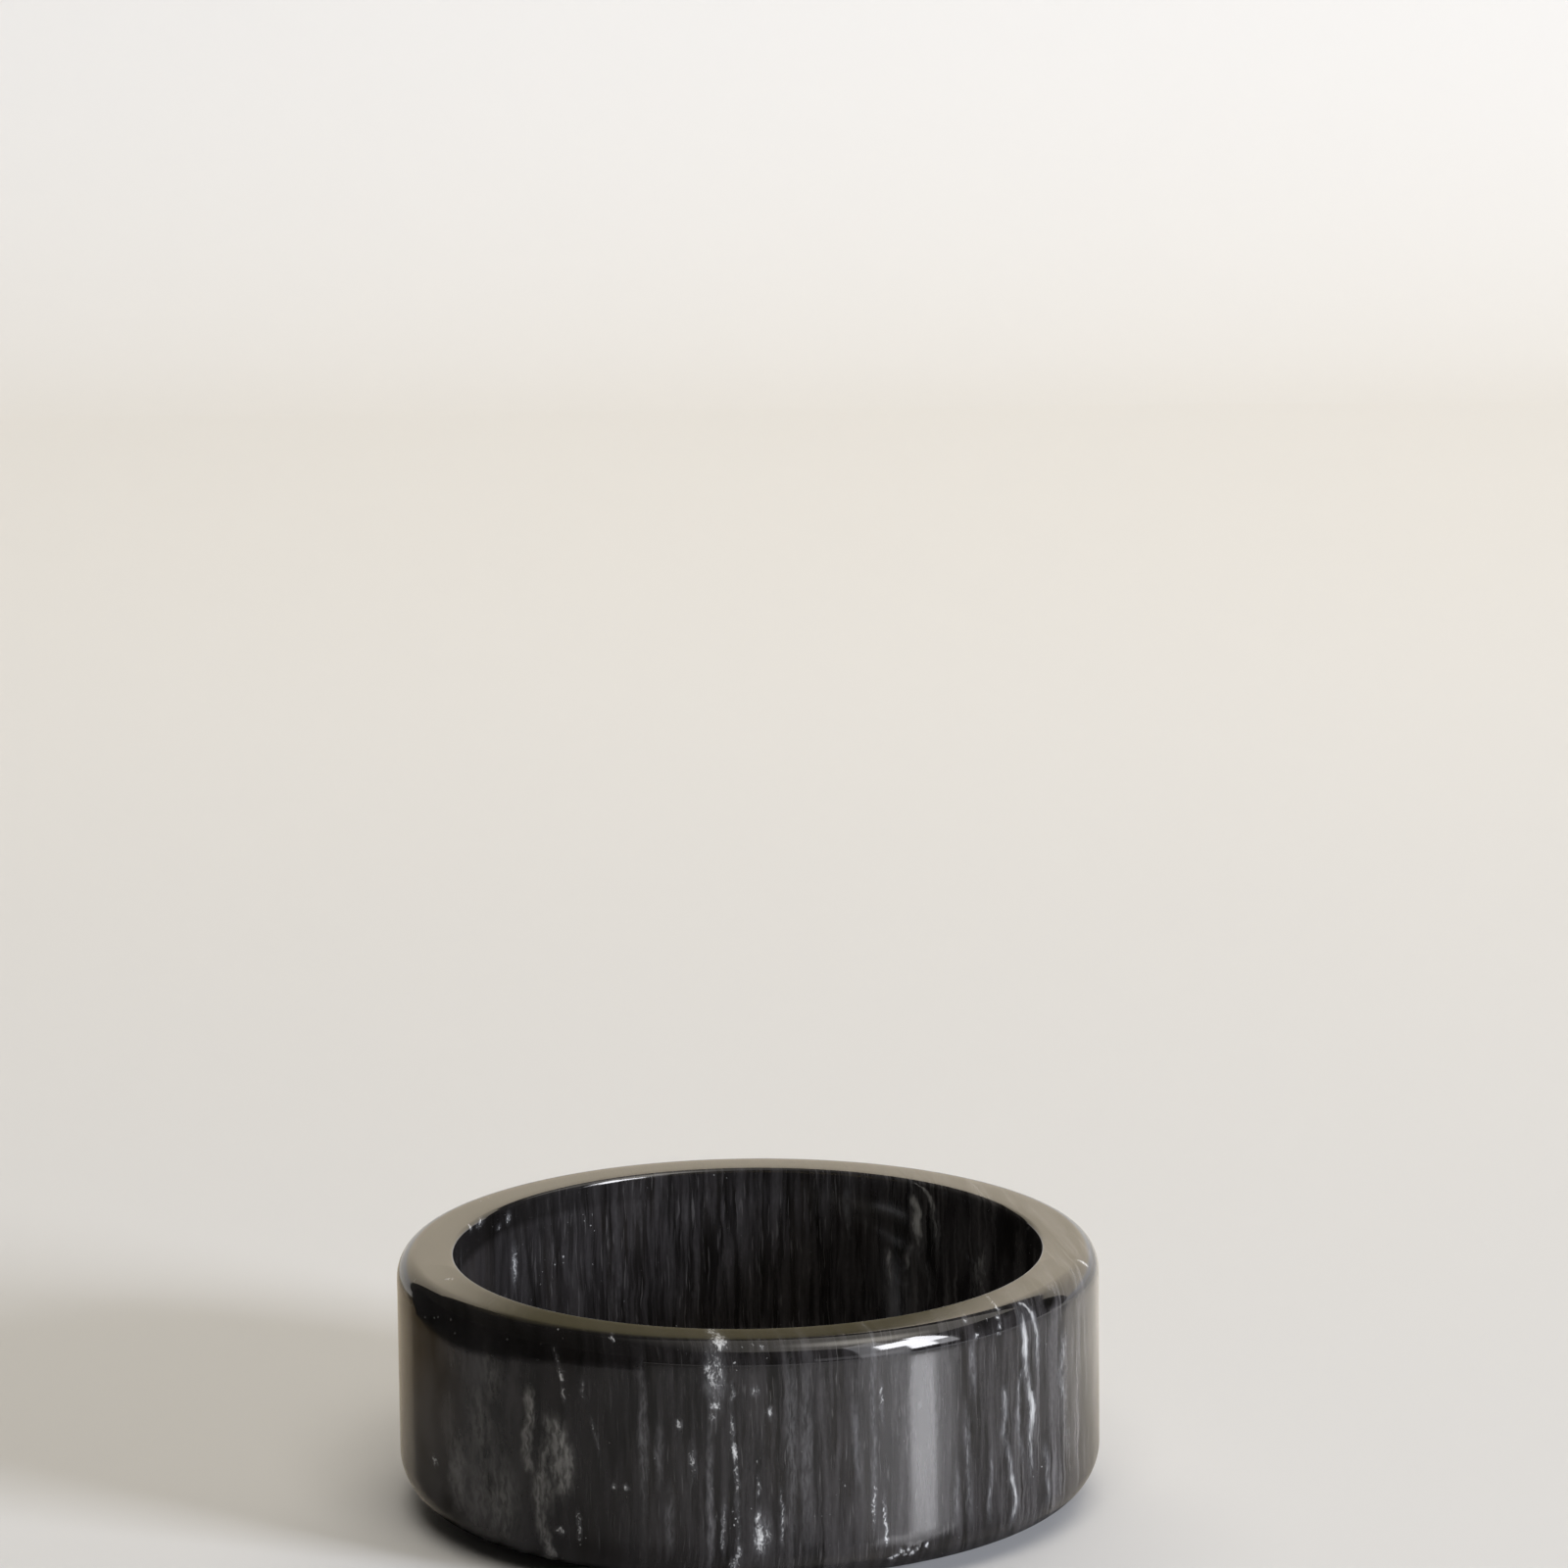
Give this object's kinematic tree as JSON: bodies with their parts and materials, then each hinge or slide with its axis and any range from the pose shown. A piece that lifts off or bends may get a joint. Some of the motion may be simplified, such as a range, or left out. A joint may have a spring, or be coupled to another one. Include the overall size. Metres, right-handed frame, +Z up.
{
  "type": "wine bottle coaster",
  "caption": "Deep round coaster turned from black marble: a straight wall, a flat rim with rounded edges and a well that a wine bottle stands in, on self-adhesive felt pads.",
  "frame": {"origin": "on the table top, on the axis of the dish", "axes": "+Z up along the axis of the dish, -Y towards the front, +X to the right"},
  "size_m": [0.127, 0.127, 0.047],
  "materials": {
    "black_marble": "polished black marble with grey bands and white calcite veins",
    "felt": "pressed charcoal felt",
    "adhesive": "acrylic pressure-sensitive adhesive film"
  },
  "bodies": {
    "root": {"stone_dish": "black_marble", "felt_pad_front_left": "felt", "felt_pad_front_right": "felt", "felt_pad_rear_left": "felt", "felt_pad_rear_right": "felt", "adhesive_film_front_left": "adhesive", "adhesive_film_front_right": "adhesive", "adhesive_film_rear_left": "adhesive", "adhesive_film_rear_right": "adhesive"}
  },
  "joints": []
}
